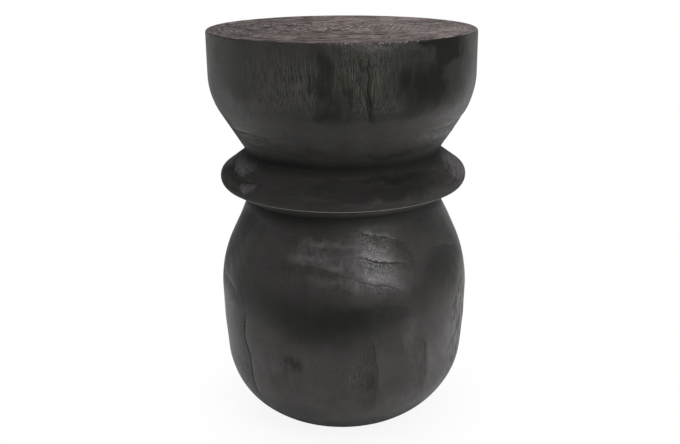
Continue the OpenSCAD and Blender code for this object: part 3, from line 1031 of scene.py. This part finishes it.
def face_wood():
    """The seat's end grain: rings in relief with short streaks along them, reddish where it is thin."""
    material, net, shader, place = new_material("stained_face")
    relief, stain = bpy.context.scene.stool_grain.face_relief, stain_colours()
    years, lines, tone = net.mark("years"), net.mark("lines"), net.mark("tone")
    rings = net.group("Growth rings", years)
    pith = [side * MM for side in SEAT_WOOD.pith]
    outward = net.vector("SUBTRACT", net.vector("MULTIPLY", place, (1, 1, 0)), (*pith, 0))
    along = net.vector("ADD", net.vector("NORMALIZE", outward), net.put("CombineXYZ", {"Z": years})[0])
    bands = net.tone(along, *FACE_BAND)
    pits = net.grain(place, *FACE_PIT, 0.4)
    brushed = net.vector("MULTIPLY", place, (0.35, 1, 0))
    figure = net.grain(brushed, *FIGURE, 0.5)
    dark_figure = net.grain(net.vector("ADD", brushed, (0.5, 0.5, 0)), *FIGURE, 0.4)

    vivid = net.times(net.total(0.3, (lines, 0.7)), net.remap(tone, -1.0, 0.0, 0.5, 1.0))
    light = net.times(net.total(0.2, (bands, 0.8)), net.times(net.grain(along, *FACE_STREAK, 0.5), vivid))
    strokes = net.times(net.grain(net.vector("ADD", along, (7, 7, 7)), *FACE_STROKE, 0.5), vivid)
    whole = net.most(net.total(0.4, (bands, 0.6)), net.times(tone, 6.0))
    late = net.times(rings["Late wood"], net.times(lines, whole))
    shade = net.strongest(
        (rings["Year line"], net.times(lines, 0.9)), (pits, 0.6), (strokes, 0.7), (dark_figure, 0.8))
    # Negative tone is partly dark heartwood and partly painted shade; positive tone is partly painted
    # reflection
    colour = net.coats(
        stain["face"], (net.tone(place, *FACE_CLOUD), stain["face_red"]),
        (net.times(tone, -0.9), stain["face_dark"]), (net.times(figure, 0.7), stain["face_ridge"]),
        (net.most(light, late, net.times(tone, 0.7)), stain["face_ridge"]), (shade, stain["deep"]),
        (net.wear(place, 0.0), stain["worn"]))
    height = net.total(
        net.times(net.times(rings["Relief"], lines), relief), (light, 0.5 * MM), (strokes, -0.5 * MM),
        (pits, -0.15 * MM))
    dress(net, shader, colour, net.total(0.55, (light, -0.18), (shade, 0.25)), height)
    shader.inputs["Specular IOR Level"].default_value = WOOD_GLOSS
    return material


def beech():
    """Plain beech: pale wood with short darker flecks along the grain."""
    material, net, shader, place = new_material("plain_beech")
    flecks = net.grain(place, *BEECH_PORE, 0.35)
    colour = net.coats(
        stain_colours()["dowel"], (net.times(net.tone(place, *BEECH_TONE), 0.35), PALE_BEECH),
        (net.times(flecks, 0.4), BEECH_FLECK))
    dress(net, shader, colour, 0.6, net.times(flecks, -0.04 * MM))
    return material


def nylon():
    """Dark moulded nylon, spark-textured by its mould and scuffed pale where it slides."""
    material, net, shader, place = new_material("moulded_nylon")
    low = net.remap(net.put("SeparateXYZ", {0: place})["Z"], 0.0, SCUFF_HEIGHT, 0.5, 0.0)
    scuffs = net.times(net.grain(place, *SCUFF, 0.3), low)
    mould = net.put("TexNoise", {"Vector": place, "Scale": 3000.0, "Detail": 2.0})["Fac"]
    dull = net.total(0.5, (net.tone(place, *NYLON_TONE), 0.15))
    colour = net.tint(scuffs, stain_colours()["glide"], SCUFFED_NYLON)
    dress(net, shader, colour, dull, net.times(mould, 0.03 * MM))
    return material


def nail_steel():
    """Drawn steel wire with faint lines along it and dull patches."""
    material, net, shader, place = new_material("nail_steel")
    lines = net.grain(place, *DRAWN_LINE, 0.5)
    patches = net.times(net.tone(place, *STEEL_TONE), 0.4)
    colour = net.tint(patches, stain_colours()["nail"], DULL_STEEL)
    dress(net, shader, colour, net.total(0.28, (lines, 0.18)), net.times(lines, 0.01 * MM))
    shader.inputs["Metallic"].default_value = 1.0
    return material


def finish_node(node, material):
    """Gives a CAD node that stays in view its material."""
    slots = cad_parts[node].data.materials
    slots.clear()
    slots.append(material)


class STOOL_OT_seat(bpy.types.Operator):
    """Build the seat block with its brushed face, worn edge and drying checks"""

    bl_idname = "stool.seat"
    bl_label = "Seat block"

    def execute(self, context):
        side = side_rings("seat_block", SEAT_SPACING, joint_below=True)
        bore, _, bore_end = bore_of("seat_block")
        joint = side[-1]
        face = face_rings(side[0].radius, SEAT_TOP, FACE_SPACING)
        inside = [(joint.radius, joint.height), (bore, joint.height), (bore, bore_end), (0.0, bore_end)]
        rings = face + side + hidden_rings(inside, after=False)
        for ring in side:
            ring.face = ring.outward[1] > RIM_TILT
        woods = [side_wood("stained_seat", "side_thin", 0.3 * MM), face_wood()]
        build_block("seat_block_brushed", "seat_block", rings, SEAT_WOOD, woods, focus=(9.5,))
        return {"FINISHED"}


class STOOL_OT_collar(bpy.types.Operator):
    """Build the collar between the two grooves"""

    bl_idname = "stool.collar"
    bl_label = "Collar"

    def execute(self, context):
        side = side_rings("collar_disc", COLLAR_SPACING, joint_above=True, joint_below=True)
        bore, low, high = bore_of("collar_disc")
        inside = [(side[-1].radius, low), (bore, low), (bore, high), (side[0].radius, high)]
        rings = side + hidden_rings(inside)[:-1]
        woods = [side_wood("stained_collar", "collar_thin", 0.03 * MM, whole=0.8, roughness=0.64)]
        build_block("collar_brushed", "collar_disc", rings, COLLAR_WOOD, woods, closed=True)
        return {"FINISHED"}


class STOOL_OT_base(bpy.types.Operator):
    """Build the base block with its checks, lifted layers and furrows"""

    bl_idname = "stool.base"
    bl_label = "Base block"

    def execute(self, context):
        side = side_rings("base_block", BASE_SPACING, joint_above=True)
        bore, bore_end, joint = bore_of("base_block")
        above = [(0.0, bore_end), (bore, bore_end), (bore, joint), (side[0].radius, joint)]
        rings = [Ring(0.0, bore_end, HIDDEN_STRIDE)] + hidden_rings(above, before=False)[:-1] + side
        foot = side[-1]
        rings += hidden_rings([(foot.radius, foot.height), (0.0, foot.height)], after=False)
        woods = [side_wood("stained_base", "base_thin", 0.28 * MM, roughness=0.22)]
        build_block("base_block_brushed", "base_block", rings, BASE_WOOD, woods, focus=(-49, 12, 39, 64))
        return {"FINISHED"}


class STOOL_OT_fixings(bpy.types.Operator):
    """Finish the centre dowel, the four glides and their nails"""

    bl_idname = "stool.fixings"
    bl_label = "Dowel, glides and nails"

    def execute(self, context):
        finish_node("centre_dowel", beech())
        glide = nylon()
        for i in range(1, 5):
            finish_node(f"glide_pad_{i}", glide)
        finish_node("glide_nails", nail_steel())
        return {"FINISHED"}


def add_camera(studio):
    camera = add_object("camera", bpy.data.cameras.new("camera"))
    camera.data.lens = studio.lens
    camera.location = (-studio.camera_side, -studio.camera_distance, SEAT_TOP + studio.camera_height)
    tilt = Matrix.Rotation(math.pi / 2 - studio.camera_pitch, 3, "X")
    camera.rotation_euler = (tilt @ Matrix.Rotation(-studio.camera_roll, 3, "Z")).to_euler()
    bpy.context.scene.camera = camera


def add_softbox(studio):
    """A large square lamp that points at the stool's shoulder."""
    lamp = bpy.data.lights.new("softbox", "AREA")
    lamp.energy = studio.softbox
    lamp.size = studio.softbox_size
    box = add_object("softbox", lamp)
    level = SOFTBOX_DISTANCE * math.cos(studio.softbox_rise)
    box.location = (
        level * math.sin(studio.softbox_azimuth), -level * math.cos(studio.softbox_azimuth),
        SHOULDER_HEIGHT + SOFTBOX_DISTANCE * math.sin(studio.softbox_rise))
    ahead = Vector((0, 0, SHOULDER_HEIGHT)) - box.location
    box.rotation_euler = ahead.to_track_quat("-Z", "Y").to_euler()


def add_world(studio):
    """Plain light from all round, and what glossy wood sees reflected in place of it.

    That is white sides and back, a darker front and ceiling, and a white panel at the back.
    """
    world = bpy.data.worlds.new("studio")
    world.use_nodes = True
    world.node_tree.nodes.clear()
    net = Net(world.node_tree)
    path = net.put("LightPath")
    direction = net.put("SeparateXYZ", {0: net.put("TexCoord")["Generated"]})
    walls = net.remap(direction["Y"], -0.75, 0.15, 0.22, 1.0)
    ceiling = net.remap(direction["Z"], -0.05, 0.42, 1.0, 0.2)
    panel = net.times(net.remap(direction["Y"], 0.84, 0.93), net.remap(direction["Z"], 0.1, 0.25))
    panel = net.times(panel, net.remap(direction["X"], -0.22, 0.12, 0.3, 1.0))
    seen = net.most(path["Is Camera Ray"], net.most(net.times(walls, ceiling), panel))
    plain = net.put("Background", {"Color": WHITE, "Strength": studio.surround})[0]
    white = net.put("Background", {"Color": WHITE, "Strength": seen})[0]
    shows = net.most(path["Is Camera Ray"], path["Is Glossy Ray"], path["Is Transmission Ray"])
    net.put("OutputWorld", {"Surface": net.put("MixShader", {0: shows, 1: plain, 2: white})[0]})
    bpy.context.scene.world = world


def floor_paper():
    """White paper. The camera sees it white with a faint shadow, the wood sees it darken to the front."""
    material, net, shader, place = new_material("floor_paper")
    net.tree.nodes.remove(shader)
    front = net.remap(net.put("SeparateXYZ", {0: place})["Y"], -0.65, -0.32, 1.0, 0.0)
    paper = net.put("BsdfDiffuse", {"Color": net.tint(front, PALE_PAPER, DARK_PAPER)})[0]
    glow = net.put("Emission", {"Color": WHITE, "Strength": 1.0})[0]
    away = net.put("VectorMath", {0: place}, operation="LENGTH")["Value"]
    share = net.times(net.put("LightPath")["Is Camera Ray"], net.remap(away, 0.08, 0.22, 0.88, 1.0))
    mixed = net.put("MixShader", {0: share, 1: paper, 2: glow})[0]
    net.fill(net.tree.nodes["Material Output"], {"Surface": mixed})
    return material


def add_floor():
    mesh = bpy.data.meshes.new("floor")
    angles = [2 * math.pi * i / FLOOR_SIDES for i in range(FLOOR_SIDES)]
    corners = [(FLOOR_RADIUS * math.cos(angle), FLOOR_RADIUS * math.sin(angle), 0.0) for angle in angles]
    mesh.from_pydata(corners, [], [tuple(range(FLOOR_SIDES))])
    mesh.materials.append(floor_paper())
    floor = add_object("floor", mesh)


class STOOL_OT_stage(bpy.types.Operator):
    """Set up the camera, the lamp, the white surroundings and the floor"""

    bl_idname = "stool.stage"
    bl_label = "Studio"

    def execute(self, context):
        studio = context.scene.stool_studio
        add_camera(studio)
        add_softbox(studio)
        add_world(studio)
        add_floor()
        context.scene.view_settings.view_transform = "Standard"
        return {"FINISHED"}


class STOOL_PT_panel(bpy.types.Panel):
    """The stool's settings and the operators that build it"""

    bl_label = "Turned stool"
    bl_idname = "STOOL_PT_panel"
    bl_space_type = "VIEW_3D"
    bl_region_type = "UI"
    bl_category = "Stool"

    def draw(self, context):
        for group, kind in SETTINGS.items():
            box = self.layout.box()
            for name in kind.__annotations__:
                box.prop(getattr(context.scene, group), name)
        for operator in OPERATORS:
            self.layout.operator(operator.bl_idname)


OPERATORS = (STOOL_OT_seat, STOOL_OT_collar, STOOL_OT_base, STOOL_OT_fixings, STOOL_OT_stage)
SETTINGS = {"stool_grain": StoolGrain, "stool_stain": StoolStain, "stool_studio": StoolStudio}
CLASSES = (*SETTINGS.values(), *OPERATORS, STOOL_PT_panel)


def register():
    for cls in CLASSES:
        bpy.utils.register_class(cls)
    for name, kind in SETTINGS.items():
        setattr(bpy.types.Scene, name, bpy.props.PointerProperty(type=kind))


def unregister():
    for name in SETTINGS:
        delattr(bpy.types.Scene, name)
    for cls in reversed(CLASSES):
        bpy.utils.unregister_class(cls)


def main():
    register()
    bpy.ops.stool.seat()
    bpy.ops.stool.collar()
    bpy.ops.stool.base()
    bpy.ops.stool.fixings()
    bpy.ops.stool.stage()


if __name__ == "__main__":
    main()
